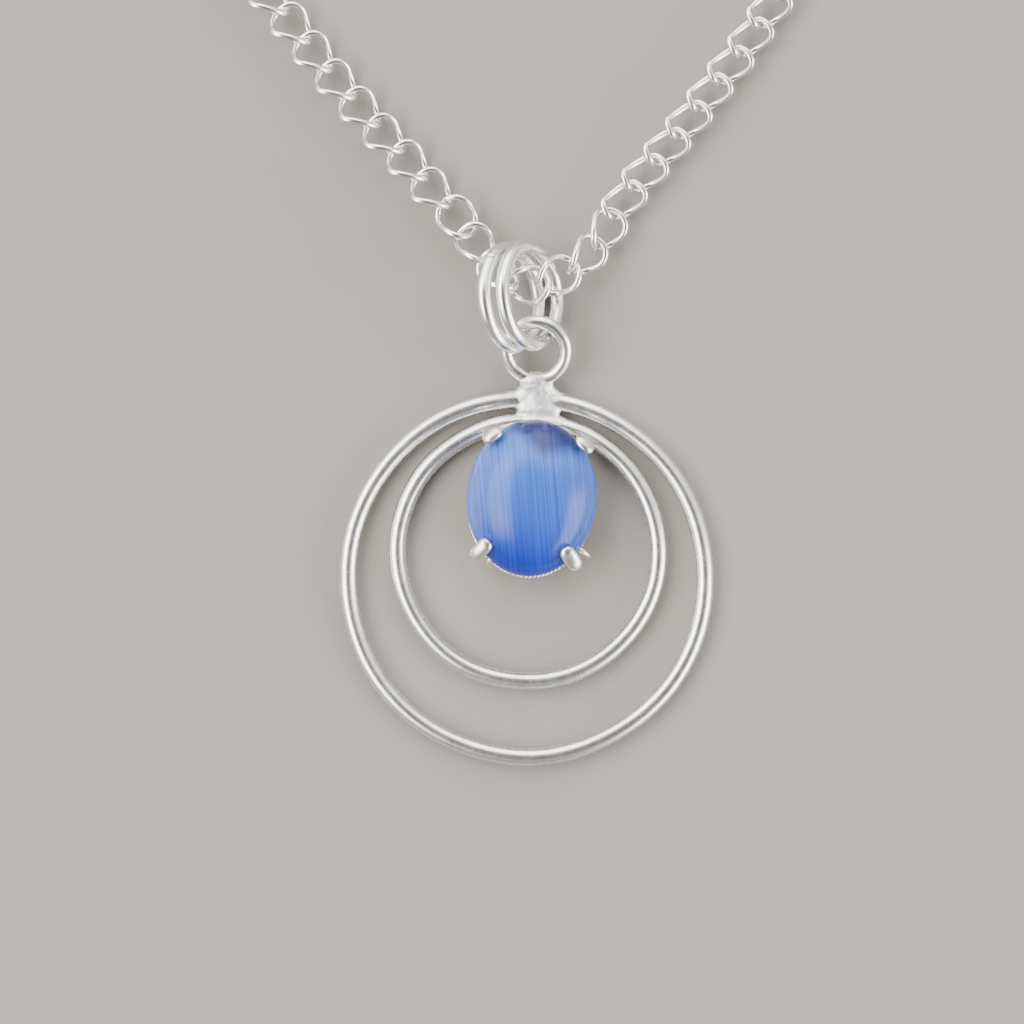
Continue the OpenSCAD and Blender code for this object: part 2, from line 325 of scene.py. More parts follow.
SILVER_BRIGHT = (0.93, 0.915, 0.89)
SILVER_DULL = (0.80, 0.78, 0.75)
hoop_silver = silver("hoop_silver", SILVER_BRIGHT, SILVER_DULL, 0.23, 0.30, 0.2, 0.3)
bail_silver = silver("bail_silver", SILVER_BRIGHT, (0.84, 0.82, 0.79), 0.20, 0.27, 0.35, 0.5)
claw_silver = silver("claw_silver", (0.88, 0.85, 0.80), (0.58, 0.53, 0.46), 0.24, 0.38, 0.6, 0.6)
chain_silver = silver("chain_silver", (0.93, 0.92, 0.90), (0.84, 0.82, 0.80), 0.16, 0.26, 0.25, 0.35)
solder_silver = silver("solder_silver", (0.95, 0.94, 0.92), (0.86, 0.845, 0.81), 0.40, 0.58, 0.8, 0.3)


def spring_steel():
    n = Nodes(bpy.data.materials.new("spring_steel_wire"))
    cloud = n.noise(2600, 3)
    tone = n.ramp(cloud, (0.35, (0.42, 0.43, 0.45)), (0.65, (0.60, 0.61, 0.63)))
    rough = n.spread(cloud, 0.3, 0.7, 0.25, 0.4)
    return n.set(Base_Color=tone, Metallic=1.0, Roughness=rough, Normal=n.bump(n.noise(7000), 0.000006))


STONE_TURN = math.radians(-5)


def cats_eye():
    """Cat's-eye glass: near-vertical fibres, with painted reflections that make it paler at both sides and painted
    shade that makes it deeper towards its lower edge and darker across its top.
    """
    n = Nodes(bpy.data.materials.new("cats_eye_glass"))
    at = middle("cats_eye_stone")
    fibre_lean = STONE_TURN + math.radians(10)
    fine = n.noise(1.0, 3, 0.6, n.mapped((5600, 22, 30), fibre_lean, at))
    wide = n.noise(1.0, 2, 0.5, n.mapped((1300, 45, 30), fibre_lean, at))
    local = n.add("ShaderNodeSeparateXYZ", {"Vector": n.mapped((1000, 1000, 1000), STONE_TURN, at)})
    x, y = local.outputs[0], local.outputs[1]
    cloud = n.noise(260, 2)
    # painted shade and light: the colour deepens towards the lower edge, as a dark reflection, and grows paler
    # upwards
    along = n.spread(n.math("ADD", y, cloud), -5.5, 6.5, 0, 1)
    body = n.ramp(along, (0.0, (0.009, 0.018, 0.30)), (0.14, (0.012, 0.038, 0.35)),
                  (0.34, (0.024, 0.080, 0.40)), (0.60, (0.030, 0.095, 0.42)), (0.76, (0.048, 0.125, 0.44)))
    # painted reflections of the side lights: paler towards the right edge and, more strongly, towards the left
    # edge
    body = n.mix(n.spread(x, 2.4, 5.0, 0.0, 0.45, smooth=True), body, (0.080, 0.125, 0.44))
    body = n.mix(n.spread(x, -2.6, -4.6, 0.0, 0.80, smooth=True), body, (0.105, 0.150, 0.46))
    # painted shade: the darker, violet cap across the top, a dark reflection laid into the colour, whose lower
    # edge sags right of the middle
    left_rise = n.math("MULTIPLY", n.math("MAXIMUM", n.math("SUBTRACT", 0.6, x), 0.0), 0.75)
    right_rise = n.math("MULTIPLY", n.math("MAXIMUM", n.math("SUBTRACT", x, 0.6), 0.0), 0.27)
    sag = n.math("ADD", n.math("ADD", left_rise, right_rise), 2.85)
    painted_shade_cap_edge = n.math("ADD", n.math("SUBTRACT", y, sag), n.math("MULTIPLY", n.math("SUBTRACT", wide, 0.5), 0.5))
    painted_shade_cap = n.spread(painted_shade_cap_edge, -0.3, 1.3, 0.0, 1.0, smooth=True)
    body = n.mix(painted_shade_cap, body, (0.020, 0.030, 0.125))
    body = n.mix(1.0, body, n.ramp(fine, (0.38, (0.70, 0.76, 0.86)), (0.62, (1.36, 1.28, 1.15))), "MULTIPLY")
    colour = n.mix(1.0, body, n.ramp(wide, (0.35, (0.90, 0.92, 0.95)), (0.65, (1.10, 1.08, 1.05))), "MULTIPLY")
    return n.set(Base_Color=colour, Roughness=0.28, IOR=1.45, Subsurface_Weight=0.15,
                 Subsurface_Radius=(0.2, 0.35, 1.0), Subsurface_Scale=0.6 * MM,
                 Specular_IOR_Level=0.1, Coat_Weight=0.40, Coat_Roughness=0.02, Coat_IOR=1.48)


stone_glass = cats_eye()
spring_wire = spring_steel()


def paper():
    n = Nodes(bpy.data.materials.new("pale_floor"))
    grain = n.noise(60, 4, 0.6)
    tone = n.ramp(grain, (0.3, (0.232, 0.215, 0.195)), (0.7, (0.250, 0.232, 0.210)))
    return n.set(Base_Color=tone, Roughness=0.75)


# ---------------------------------------------------------------- chain

# A link of twisted curb chain: four arcs between its two ends and its two sides.
LINK_HALF_L = 1.70 * MM
LINK_HALF_W = 1.36 * MM
LINK_WIRE = 0.265 * MM
LINK_TWIST = math.radians(-46)
LINK_ROLL = 31
CENTRE_ROLL = 19
LEFT_ROLLS = [25, 27, 11]
RIGHT_ROLLS = [15, 39, 34]
WORN_LINKS = 17
LINK_SIDES = 12
LINK_STEPS = 14
ROLL_SPREAD = 1.5

# The junctions between the links, outwards from the pendant, as in the CAD part.
LINK_Z = 0.00134
LEFT_KNOTS = [
    (-0.0010, 0.0168, 0.00225), (-0.00315, 0.0189, 0.0020), (-0.00445, 0.0209, 0.0015), (-0.0061, 0.0231, LINK_Z),
    (-0.0079, 0.0252, LINK_Z), (-0.0097, 0.0273, LINK_Z), (-0.0116, 0.0293, LINK_Z), (-0.0134, 0.0314, LINK_Z),
    (-0.0152, 0.0335, LINK_Z), (-0.0169, 0.0357, LINK_Z), (-0.0186, 0.0379, LINK_Z), (-0.0203, 0.0401, LINK_Z),
    (-0.0219, 0.0423, LINK_Z), (-0.0233, 0.0446, LINK_Z), (-0.0244, 0.0471, LINK_Z), (-0.0251, 0.0497, LINK_Z),
    (-0.0254, 0.0524, LINK_Z), (-0.0254, 0.0551, LINK_Z), (-0.0254, 0.0578, LINK_Z), (-0.0254, 0.0605, LINK_Z),
    (-0.0254, 0.0632, LINK_Z), (-0.0254, 0.0659, LINK_Z), (-0.0254, 0.0687, LINK_Z), (-0.0254, 0.0714, LINK_Z),
]
RIGHT_KNOTS = [
    (0.00115, 0.0168, 0.00275), (0.0037, 0.0182, 0.0024), (0.0054, 0.0199, 0.00175), (0.0068, 0.0222, LINK_Z),
    (0.0083, 0.0244, LINK_Z), (0.0100, 0.0264, LINK_Z), (0.0117, 0.0284, LINK_Z), (0.0133, 0.0305, LINK_Z),
    (0.0149, 0.0326, LINK_Z), (0.0165, 0.0347, LINK_Z), (0.0180, 0.0369, LINK_Z), (0.0194, 0.0391, LINK_Z),
    (0.0204, 0.0416, LINK_Z), (0.0202, 0.0443, LINK_Z), (0.0189, 0.0467, LINK_Z), (0.0167, 0.0483, LINK_Z),
    (0.0141, 0.0490, LINK_Z), (0.0114, 0.0492, LINK_Z), (0.0087, 0.0494, LINK_Z), (0.0060, 0.0496, LINK_Z),
    (0.0032, 0.0498, LINK_Z), (0.0004, 0.0499, LINK_Z), (-0.0023, 0.0500, LINK_Z),
]
CLASP_END_KNOTS = [(0.0022, 0.0852, LINK_Z), (0.0047, 0.0842, LINK_Z), (0.0062, 0.0821, LINK_Z)]
RING_END_KNOTS = [(-0.0034, 0.0829, LINK_Z), (-0.0008, 0.0822, LINK_Z)]

# Both strands wind inwards side by side in one flat coil.
COIL_AT = Vector((-0.0023, 0.0714, 0))
COIL_PITCH = 6.6 * MM
COIL_LENGTH = 153.7 * MM
COIL_LINKS = 57


def coil_knots(start, radius):
    """Junctions along a flat spiral, clockwise and inwards from the start angle in degrees."""
    out = []
    for i in range(1, COIL_LINKS):
        s = COIL_LENGTH * i / COIL_LINKS
        turn = TAU / COIL_PITCH * (radius - math.sqrt(radius**2 - s * COIL_PITCH / math.pi))
        r = radius - COIL_PITCH * turn / TAU
        a = math.radians(start) - turn
        out.append((COIL_AT.x + r * math.cos(a), COIL_AT.y + r * math.sin(a), LINK_Z))
    return out


def quarter_arc(start, along, end, steps):
    """Points of the circular arc that leaves start along a direction and reaches end."""
    chord = end - start
    across = (chord - along * chord.dot(along)).normalized()
    radius = chord.length_squared / (2 * chord.dot(across))
    centre = start + across * radius
    sweep = 2 * math.asin(chord.length / (2 * radius))
    out = []
    for i in range(steps):
        a = sweep * i / steps
        out.append(centre - across * radius * math.cos(a) + along * radius * math.sin(a))
    return out


def smoothed(line):
    """A closed line with its corners rounded a little."""
    for _ in range(2):
        line = [(line[i - 1] + 2 * line[i] + line[(i + 1) % len(line)]) / 4 for i in range(len(line))]
    return line


def link_line():
    """The closed centreline of a link along X, with its two bent corners slightly rounded."""
    end = Vector((LINK_HALF_L, 0, 0))
    side = Vector((0, LINK_HALF_W, 0))
    along = Vector((0, math.cos(LINK_TWIST), math.sin(LINK_TWIST)))
    first = quarter_arc(end, along, side, LINK_STEPS)
    second = [Vector((-p.x, p.y, -p.z)) for p in [*first[1:], side][::-1]]
    half = first + second
    line = half + [Vector((-p.x, -p.y, p.z)) for p in half]
    return smoothed(line)


def leaned(line, near_lean, near_swell, far_lean, far_swell, near_corner):
    """A link worn out of true: each side slid along the link and pushed out or in, its ends left in place.
    The near side is the link's +Y side, and near_corner draws it towards straight lines that meet in a
    corner."""
    out = []
    for p in line:
        side = p.y / LINK_HALF_W
        if side > 0:
            lean, swell, corner = near_lean, near_swell, near_corner * side
        else:
            lean, swell, corner = far_lean, far_swell, 0
        straight = LINK_HALF_W * (1 - abs(p.x) / LINK_HALF_L)
        y = p.y * (1 - corner) + straight * corner
        out.append(Vector((p.x + lean * side * side, y * (1 + swell * abs(side)), p.z)))
    return smoothed(out)


def link_place(p, q, roll):
    """Where a link lies between two junctions, leaning over by roll degrees about the line between them."""
    p, q = Vector(p), Vector(q)
    x = (q - p).normalized()
    y = UP.cross(x).normalized()
    z = x.cross(y)
    c, s = math.cos(math.radians(roll)), math.sin(math.radians(roll))
    across, up, at = c * y + s * z, c * z - s * y, (p + q) / 2
    rows = [(x[k], across[k], up[k], at[k]) for k in range(3)]
    return Matrix((*rows, (0, 0, 0, 1)))


def add_links(bm, line, knots, rolls=(), worn=None, worn_end=0):
    """Links between a row of junctions. Those between the rolled ones and worn_end have the worn shape."""
    for i, (p, q) in enumerate(zip(knots, knots[1:])):
        roll = rolls[i] if i < len(rolls) else LINK_ROLL + random.uniform(-ROLL_SPREAD, ROLL_SPREAD)
        shape = worn if len(rolls) <= i < worn_end else line
        add_wire(bm, placed(link_place(p, q, roll), shape), LINK_WIRE, LINK_SIDES, closed=True)


def build_chain():
    line = link_line()
    bm = bmesh.new()
    add_links(bm, line, [LEFT_KNOTS[0], RIGHT_KNOTS[0]], [CENTRE_ROLL])
    piece("centre_link_wire", bm, chain_silver, "chain", "chain_silver", "centre_link")

    left_route = LEFT_KNOTS + coil_knots(180, 23.1 * MM) + CLASP_END_KNOTS
    bm = bmesh.new()
    worn = leaned(line, 0.35 * MM, 0.42, 0.10 * MM, -0.12, 0.5)
    add_links(bm, line, left_route, LEFT_ROLLS, worn, WORN_LINKS)
    left = piece("left_chain", bm, chain_silver, "chain", "chain_silver",
                 "chain_left_strand", "chain_coil", "chain_clasp_end")

    right_route = RIGHT_KNOTS + coil_knots(270, 21.4 * MM) + RING_END_KNOTS
    bm = bmesh.new()
    worn = leaned(line, -1.0 * MM, 0.20, 0.30 * MM, -0.08, 0.8)
    add_links(bm, line, right_route, RIGHT_ROLLS, worn, WORN_LINKS)
    right = piece("right_chain", bm, chain_silver, "chain", "chain_silver",
                  "chain_right_strand", "chain_coil", "chain_ring_end")
    return left, left_route, right, right_route


# ---------------------------------------------------------------- pendant

HOOP_WIRE = (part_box("outer_hoop")[1].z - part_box("outer_hoop")[0].z) / 2
EYE_R = 2.3 * MM
EYE_WIRE = 0.53 * MM
EYE_TURN = turned(20, -5, 0)
JUMP_WIRE = 0.55 * MM
JUMP_TURN = turned(0, 56.5, 0)
JUMP_R = 3.77 * MM


def flat_ring_radius(node):
    low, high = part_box(node)
    return (high.x - low.x) / 2 - HOOP_WIRE


def build_hoop(name, node, seed):
    """A round wire hoop, bent by hand and soldered shut."""
    bm = bmesh.new()
    line = handmade(arc_points(flat_ring_radius(node), 0, 360, 320), 0.10 * MM, seed)
    add_wire(bm, placed(moved(middle(node)), line), HOOP_WIRE, 32, closed=True, uneven=0.010)
    piece(name, bm, hoop_silver, "pendant", "silver", node)


def build_eye():
    bm = bmesh.new()
    line = handmade(arc_points(EYE_R, 0, 360, 120), 0.05 * MM, 3.0)
    add_wire(bm, placed(moved(middle("pendant_eye")) @ EYE_TURN, line), EYE_WIRE, 28, closed=True, uneven=0.015)
    piece("eye_wire", bm, bail_silver, "pendant", "silver", "pendant_eye")


def build_jump_ring(name, node, slit):
    """A big jump ring with a sawn slit, turned by slit degrees round it."""
    bm = bmesh.new()
    line = handmade(arc_points(JUMP_R, slit + 0.9, slit + 359.1, 180), 0.03 * MM, slit)
    place = moved(middle(node)) @ turned(0, 0, 5) @ JUMP_TURN
    add_wire(bm, placed(place, line), JUMP_WIRE, 28, uneven=0.012)
    piece(name, bm, bail_silver, node, "silver", node)


def joined(name, bm, voxel, smoothing):
    """One smooth skin over everything in bm, as melted metal has."""
    mesh = bpy.data.meshes.new(name + "_rough")
    bm.to_mesh(mesh)
    bm.free()
    rough = bpy.data.objects.new(name + "_rough", mesh)
    bpy.context.scene.collection.objects.link(rough)
    remesh = rough.modifiers.new("skin", "REMESH")
    remesh.mode = "VOXEL"
    remesh.voxel_size = voxel
    smooth = rough.modifiers.new("smooth", "SMOOTH")
    smooth.factor = 0.6
    smooth.iterations = smoothing
    graph = bpy.context.evaluated_depsgraph_get()
    skin = bpy.data.meshes.new_from_object(rough.evaluated_get(graph))
    bpy.data.objects.remove(rough)
    bpy.data.meshes.remove(mesh)
    return skin


def add_ball(bm, at, radius, stretch=(1, 1, 1)):
    matrix = moved(at) @ Matrix.Diagonal((*stretch, 1))
    bmesh.ops.create_icosphere(bm, subdivisions=2, radius=radius, matrix=matrix)


def lumpy(mesh, amount, grain, seed):
    """Melted lumps and a few pits, as real shape."""
    offsets = []
    for v in mesh.vertices:
        p = v.co / grain + Vector((seed, 0, 0))
        lump = noise.noise(p) + 0.5 * noise.noise(p * 2.1)
        pit = max(0.0, noise.noise(p * 1.6 + Vector((9, 4, 2))) - 0.32) * 3.0
        offsets.append(v.normal * amount * (lump - pit))
    for v, offset in zip(mesh.vertices, offsets):
        v.co += offset


def build_solder():
    """The solder that joins both hoops and climbs to the eye."""
    bm = bmesh.new()
    hoop = middle("outer_hoop")
    inner = middle("inner_hoop")
    eye = middle("pendant_eye")
    bridge = middle("solder_bridge")
    neck_low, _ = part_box("solder_neck")
    # a skin over the wires in the joint, thickest in its middle, so that it runs out along them
    outer_r, inner_r = flat_ring_radius("outer_hoop"), flat_ring_radius("inner_hoop")
    for centre, radius, mid, half in ((hoop, outer_r, 86.5, 12), (inner, inner_r, 84, 14)):
        line = placed(moved(centre), arc_points(radius, mid - half, mid + half, 24))
        swell = [1.13 - 0.26 * (abs(i - 12) / 12) ** 1.5 for i in range(25)]
        add_sweep(bm, line, lambda i, swell=swell: circle(HOOP_WIRE * swell[i], 24))
    line = placed(moved(eye) @ EYE_TURN, arc_points(EYE_R, 236, 304, 24))
    swell = [1.16 - 0.32 * abs(i - 12) / 12 for i in range(25)]
    add_sweep(bm, line, lambda i, swell=swell: circle(EYE_WIRE * swell[i], 20))
    # the pool between the hoops and over the top of the outer one
    for k in range(9):
        y = bridge.y + (0.1 + 0.12 * k) * MM
        for j in range(-5, 6):
            edge = abs(j) / 5
            at = Vector((0.85 * MM + 0.95 * MM * j / 5, y, (0.84 - 0.10 * edge**2) * MM))
            add_ball(bm, at, (0.73 - 0.04 * edge) * MM)
    for k in range(17):
        across = k / 8 - 1
        at = bridge + Vector((0.05 + across * 1.12, 0.08 - 0.10 * across, 0.06 - 0.10 * across**2)) * MM
        add_ball(bm, at, (0.66 - 0.06 * abs(across)) * MM, (1, 1.25, 1))
    # the neck: a web with hollow sides that spreads onto the outer hoop
    for k in range(15):
        up = k / 14
        half_w = (0.62 + 1.45 * (1 - up) ** 2.6 + 0.22 * up**3) * MM
        y = neck_low.y + (0.40 + 1.62 * up) * MM
        z = (0.74 + 0.80 * up) * MM
        for j in range(-6, 7):
            edge = abs(j) / 6
            at = (0.80 * MM + half_w * j / 6, y, z - 0.10 * MM * edge**2)
            add_ball(bm, at, (0.62 - 0.07 * edge) * MM, (1, 1, 0.95))
    skin = joined("solder", bm, 0.07 * MM, 8)
    lumpy(skin, 0.030 * MM, 0.55 * MM, 5.0)
    piece_of_mesh("pendant_solder", skin, solder_silver, "pendant", "solder", "solder_neck", "solder_bridge")


# ---------------------------------------------------------------- setting and stone

STONE_AT = middle("cats_eye_stone")
STONE_PLACE = moved((STONE_AT.x, STONE_AT.y, 0)) @ Matrix.Rotation(STONE_TURN, 4, "Z")
STONE_HALF_W = 5.0 * MM
STONE_HALF_L = 6.0 * MM
STONE_BACK, STONE_TOP = (corner.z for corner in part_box("cats_eye_stone"))
GIRDLE = 0.35 * MM


def oval(half_w, half_l, angle):
    return Vector((half_w * math.cos(angle), half_l * math.sin(angle), 0))


def build_stone():
    """The cabochon: a flat back with a small bevel, a thin girdle and an elliptical dome."""
    around, up = 160, 48
    bm = bmesh.new()
    profile = [(0.93, STONE_BACK), (0.985, STONE_BACK + 0.06 * MM), (1.0, STONE_BACK + 0.16 * MM)]
    dome = STONE_TOP - STONE_BACK - GIRDLE
    for k in range(up):
        a = math.pi / 2 * k / up
        profile.append((math.cos(a), STONE_BACK + GIRDLE + dome * math.sin(a)))
    rings = []
    for size, z in profile:
        ring = []
        for i in range(around):
            p = STONE_PLACE @ oval(STONE_HALF_W * size, STONE_HALF_L * size, TAU * i / around)
            ring.append(bm.verts.new((p.x, p.y, z)))
        rings.append(ring)
    for one, two in zip(rings, rings[1:]):
        add_band(bm, one, two)
    top = bm.verts.new((STONE_AT.x, STONE_AT.y, STONE_TOP))
    for i in range(around):
        bm.faces.new((rings[-1][i], rings[-1][(i + 1) % around], top))
    bm.faces.new(rings[0][::-1])
    piece("cabochon", bm, stone_glass, "pendant", "cats_eye", "cats_eye_stone", sharp=50)


def build_gallery():
    """The band under the stone's edge, with small teeth along its rim."""
    teeth, per_tooth = 96, 8
    around = teeth * per_tooth
    low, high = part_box("setting_gallery")
    bm = bmesh.new()
    rings = []
    for i in range(around):
        a = TAU * i / around
        tooth = 0.5 + 0.5 * math.cos(TAU * i / per_tooth)
        low_side = max(0.0, -math.sin(a)) ** 2
        rise = (0.05 + 0.09 * tooth * low_side) * MM
        lip = (-0.02 + 0.14 * low_side + 0.08 * tooth * low_side) * MM
        section = [
            (-1.0 * MM, low.z), (-0.45 * MM, low.z - 0.05 * MM), (-0.15 * MM, low.z + 0.10 * MM),
            (lip, high.z - 0.08 * MM), (lip, high.z + rise), (lip - 0.10 * MM, high.z + rise + 0.03 * MM),
            (-0.10 * MM, high.z - 0.02 * MM), (-0.55 * MM, high.z - 0.01 * MM), (-1.0 * MM, high.z - 0.08 * MM),
        ]
        ring = []
        for out, z in section:
            p = STONE_PLACE @ oval(STONE_HALF_W + out, STONE_HALF_L + out, a)
            ring.append(bm.verts.new((p.x, p.y, z)))
        rings.append(ring)
    sides = len(rings[0])
    for i in range(around):
        one, two = rings[i], rings[(i + 1) % around]
        for k in range(sides):
            n = (k + 1) % sides
            bm.faces.new((one[k], two[k], two[n], one[n]))
    piece("gallery_band", bm, claw_silver, "pendant", "silver", "setting_gallery", sharp=60)


def build_base():
    """The lower band of the setting, a flat strip bent to an oval."""
    low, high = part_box("setting_base")
    half_h = (high.z - low.z) / 2
    line = []
    frames = []
    for i in range(160):
        a = TAU * i / 160
        p = STONE_PLACE @ oval(3.15 * MM, 4.05 * MM, a)
        line.append(Vector((p.x, p.y, (low.z + high.z) / 2)))
    for i in range(160):
        t = (line[(i + 1) % 160] - line[i - 1]).normalized()
        frames.append((t.cross(UP), UP))
    bm = bmesh.new()
    add_sweep(bm, line, lambda i: rounded_box(0.35 * MM, half_h, 16), closed=True, frames=frames)
    piece("setting_base_band", bm, claw_silver, "pendant", "silver", "setting_base")


def build_setting_solder():
    """The spot of solder that holds the setting inside the inner hoop."""
    bm = bmesh.new()
    at = middle("setting_solder")
    add_ball(bm, at, 1.0 * MM, (1, 0.95, 0.55))
    add_ball(bm, at + Vector((-0.5, -0.5, 0.1)) * MM, 0.5 * MM)
    add_ball(bm, at + Vector((0.55, -0.4, 0.1)) * MM, 0.5 * MM)
    skin = joined("setting_solder", bm, 0.08 * MM, 4)
    lumpy(skin, 0.04 * MM, 0.4 * MM, 2.0)
    piece_of_mesh("setting_solder_spot", skin, solder_silver, "pendant", "solder", "setting_solder")


def smooth_path(points, per_span):
    """A Catmull-Rom curve through the points."""
    ends = [2 * points[0] - points[1], *points, 2 * points[-1] - points[-2]]
    out = []
    for a, b, c, d in zip(ends, ends[1:], ends[2:], ends[3:]):
        for i in range(per_span):
            t = i / per_span
            square = (2 * a - 5 * b + 4 * c - d) * t**2
            cube = (3 * b - a - 3 * c + d) * t**3
            out.append(0.5 * (2 * b + (c - a) * t + square + cube))
    out.append(points[-1])
    return out


def build_claw(name, node, angle, reach, tip, width, head, stub=False):
    """A claw that leans out past the girdle and is bent over the stone. Its line is given as
    [distance from the stone's middle, height]; the last part of it, head long, is as wide as width;
    stub adds the short second wire beside it."""
    a = math.radians(angle)
    out = Vector((math.cos(a), math.sin(a), 0))
    side = Vector((-out.y, out.x, 0))
    path = [(4.0, 0.35), (4.7, 1.2), (reach - 0.45, 2.1), (reach, 2.85), (reach - 0.12, 3.6),
            (tip + 0.35, 4.12), (tip, 4.22)]
    line = smooth_path([out * r * MM + Vector((0, 0, z * MM)) for r, z in path], 14)
    count = len(line)
    frames = []
    for i in range(count):
        t = (line[min(i + 1, count - 1)] - line[max(i - 1, 0)]).normalized()
        frames.append((side, t.cross(side)))
    length = [0.0]
    for one, two in zip(line, line[1:]):
        length.append(length[-1] + (two - one).length / MM)

    def section(i):
        to_end = length[-1] - length[i]
        fill = min(1.0, max(0.0, (head + 0.9 - to_end) / 1.4))
        fill = fill * fill * (3 - 2 * fill)
        nose = min(1.0, to_end / 0.5)
        nose = math.sqrt(max(0.012, 1 - (1 - nose) ** 2))
        half_w = (0.42 + (width / 2 - 0.42) * fill) * nose
        half_h = (0.34 + 0.12 * fill) * nose
        return rounded_box(half_w * MM, half_h * MM, 24, 2.4)

    bm = bmesh.new()
    turn = STONE_PLACE.to_3x3()
    add_sweep(bm, placed(STONE_PLACE, line), section, frames=[(turn @ u, turn @ v) for u, v in frames])
    if stub:
        at = out * 5.15 + side * 0.85
        lean = out * 0.85 + side * 0.35
        stub_line = smooth_path([(at + lean * t + Vector((0, 0, z))) * MM
                                 for t, z in ((-0.35, 1.9), (0.2, 2.35), (0.75, 2.2), (1.15, 1.7), (1.2, 1.1))], 6)
        add_wire(bm, placed(STONE_PLACE, stub_line), 0.23 * MM, 14)
    for v in bm.verts:
        v.co += Vector((1, 1, 1)) * 0.012 * MM * noise.noise(v.co * 1500)
    piece(name, bm, claw_silver, "pendant", "silver", node)


# ---------------------------------------------------------------- clasp

CLASP_TAIL = Vector((6.32, 79.57, 1.27)) * MM
CLASP_TURN = turned(-4, 0, 170)
CLASP = moved(CLASP_TAIL) @ CLASP_TURN
HOOK_R = 2.5
HOOK_Y = 4.25
TIP_ANGLE = 62
PIVOT_ANGLE = -38


def in_clasp(points):
    """Points of the clasp's own plane, in millimetres, put in their place."""
    return [CLASP @ (p * MM) for p in points]


def hook_point(angle, radius=HOOK_R):
    a = math.radians(angle)
    return Vector((radius * math.cos(a), HOOK_Y + radius * math.sin(a), 0))


PIVOT = hook_point(PIVOT_ANGLE)


def add_plate(bm, outline, low, high, bevel):
    """A flat plate with rounded edges: an outline about its own middle, in the clasp's plane."""
    centre = sum(outline, Vector((0, 0, 0))) / len(outline)
    rings = []
    for inset, z in ((bevel, low), (bevel * 0.3, low + bevel * 0.3), (0, low + bevel), (0, high - bevel),
                     (bevel * 0.3, high - bevel * 0.3), (bevel, high)):
        ring = []
        for p in outline:
            away = p - centre
            q = p - away.normalized() * inset
            ring.append(bm.verts.new(CLASP @ (Vector((q.x, q.y, z)) * MM)))
        rings.append(ring)
    for one, two in zip(rings, rings[1:]):
        add_band(bm, one, two)
    bm.faces.new(rings[0][::-1])
    bm.faces.new(rings[-1])


def build_clasp_body():
    bm = bmesh.new()
    tail = in_clasp(arc_points(1.15, 0, 360, 72))
    add_wire(bm, tail, 0.5 * MM, 24, closed=True)
    # the hook: thin at its tip, thick in its back
    start, stop, steps = TIP_ANGLE, 360 + PIVOT_ANGLE - 25, 120
    line = in_clasp([hook_point(start + (stop - start) * i / steps) for i in range(steps + 1)])

    def section(i):
        t = i / steps
        taper = 0.66 + 0.10 * min(1, t * 4)
        return circle(taper * MM, 24)

    line = [line[0] + (line[0] - line[1]).normalized() * r * MM for r in (0.5, 0.42, 0.26, 0.12)] + line
    tip = [0.18, 0.40, 0.55, 0.62]
    add_sweep(bm, line, lambda i: circle(tip[i] * MM, 24) if i < 4 else section(i - 4))
    # two cheeks hold the lever's hub between them
    toward = hook_point(PIVOT_ANGLE - 26)
    outline = []
    for k in range(48):
        a = TAU * k / 48
        away = Vector((math.cos(a), math.sin(a), 0))
        centre = PIVOT if away.dot(PIVOT - toward) > 0 else toward
        radius = 1.12 if centre is PIVOT else 0.85
        outline.append(centre + away * radius)
    add_plate(bm, outline, 0.43, 0.85, 0.14)
    add_plate(bm, outline, -0.85, -0.43, 0.14)
    piece("clasp_body_cast", bm, bail_silver, "clasp", "silver", "clasp_body", sharp=45)


def build_clasp_small_parts():
    bm = bmesh.new()
    outline = [PIVOT + oval(0.29, 0.29, TAU * k / 32) for k in range(32)]
    add_plate(bm, outline, -0.92, 0.92, 0.10)
    piece("clasp_rivet_pin", bm, bail_silver, "clasp", "silver", "clasp_rivet", sharp=45)

    bm = bmesh.new()
    turns, steps = 2.5, 90
    coil = []
    for i in range(steps + 1):
        a = TAU * turns * i / steps
        coil.append(PIVOT + Vector((0.63 * math.cos(a), 0.63 * math.sin(a), 0.02 + 0.5 * (i / steps - 0.5))))
    add_wire(bm, in_clasp(coil), 0.085 * MM, 10)
    piece("clasp_spring_wire", bm, spring_wire, "clasp", "spring_steel", "clasp_spring")

    bm = bmesh.new()
    steps = 40
    line = in_clasp([hook_point(PIVOT_ANGLE + 12 + 61 * i / steps, HOOK_R - 0.125) for i in range(steps + 1)])
    up = (CLASP_TURN @ UP).normalized()
    frames = []
    for i in range(steps + 1):
        t = (line[min(i + 1, steps)] - line[max(i - 1, 0)]).normalized()
        frames.append((t.cross(up), up))
    add_sweep(bm, line, lambda i: rounded_box(0.24 * MM, (0.36 - 0.06 * i / steps) * MM, 16), frames=frames)
    hub = [PIVOT + oval(0.93, 0.93, TAU * k / 40) for k in range(40)]
    add_plate(bm, hub, -0.36, 0.36, 0.08)
    thumb = Vector((HOOK_R + 0.36, HOOK_Y - 0.5, 0))
    tab = [thumb + oval(0.42, 0.52, TAU * k / 32) for k in range(32)]
    add_plate(bm, tab, -0.34, 0.34, 0.12)
    piece("clasp_lever_gate", bm, bail_silver, "clasp_lever", "silver", "clasp_lever", sharp=45)


def build_small_ring(name, node, radius, wire, turn, body):
    bm = bmesh.new()
    line = arc_points(radius, 90, 450, 96)
    add_wire(bm, placed(moved(middle(node)) @ turn, line), wire, 20, closed=True, uneven=0.015)
    piece(name, bm, bail_silver, body, "silver", node)


# ---------------------------------------------------------------- stage

PANEL_LEFT = 8.8
PANEL_RIGHT = 8.8
PANEL_BACK = 3.9
ROOM_OVERHEAD = 0.2
ROOM_WALLS = 1.45
ROOM_FRONT = 0.3
FLOOR_HALF = 1.2
FLOOR_Z = -0.00003


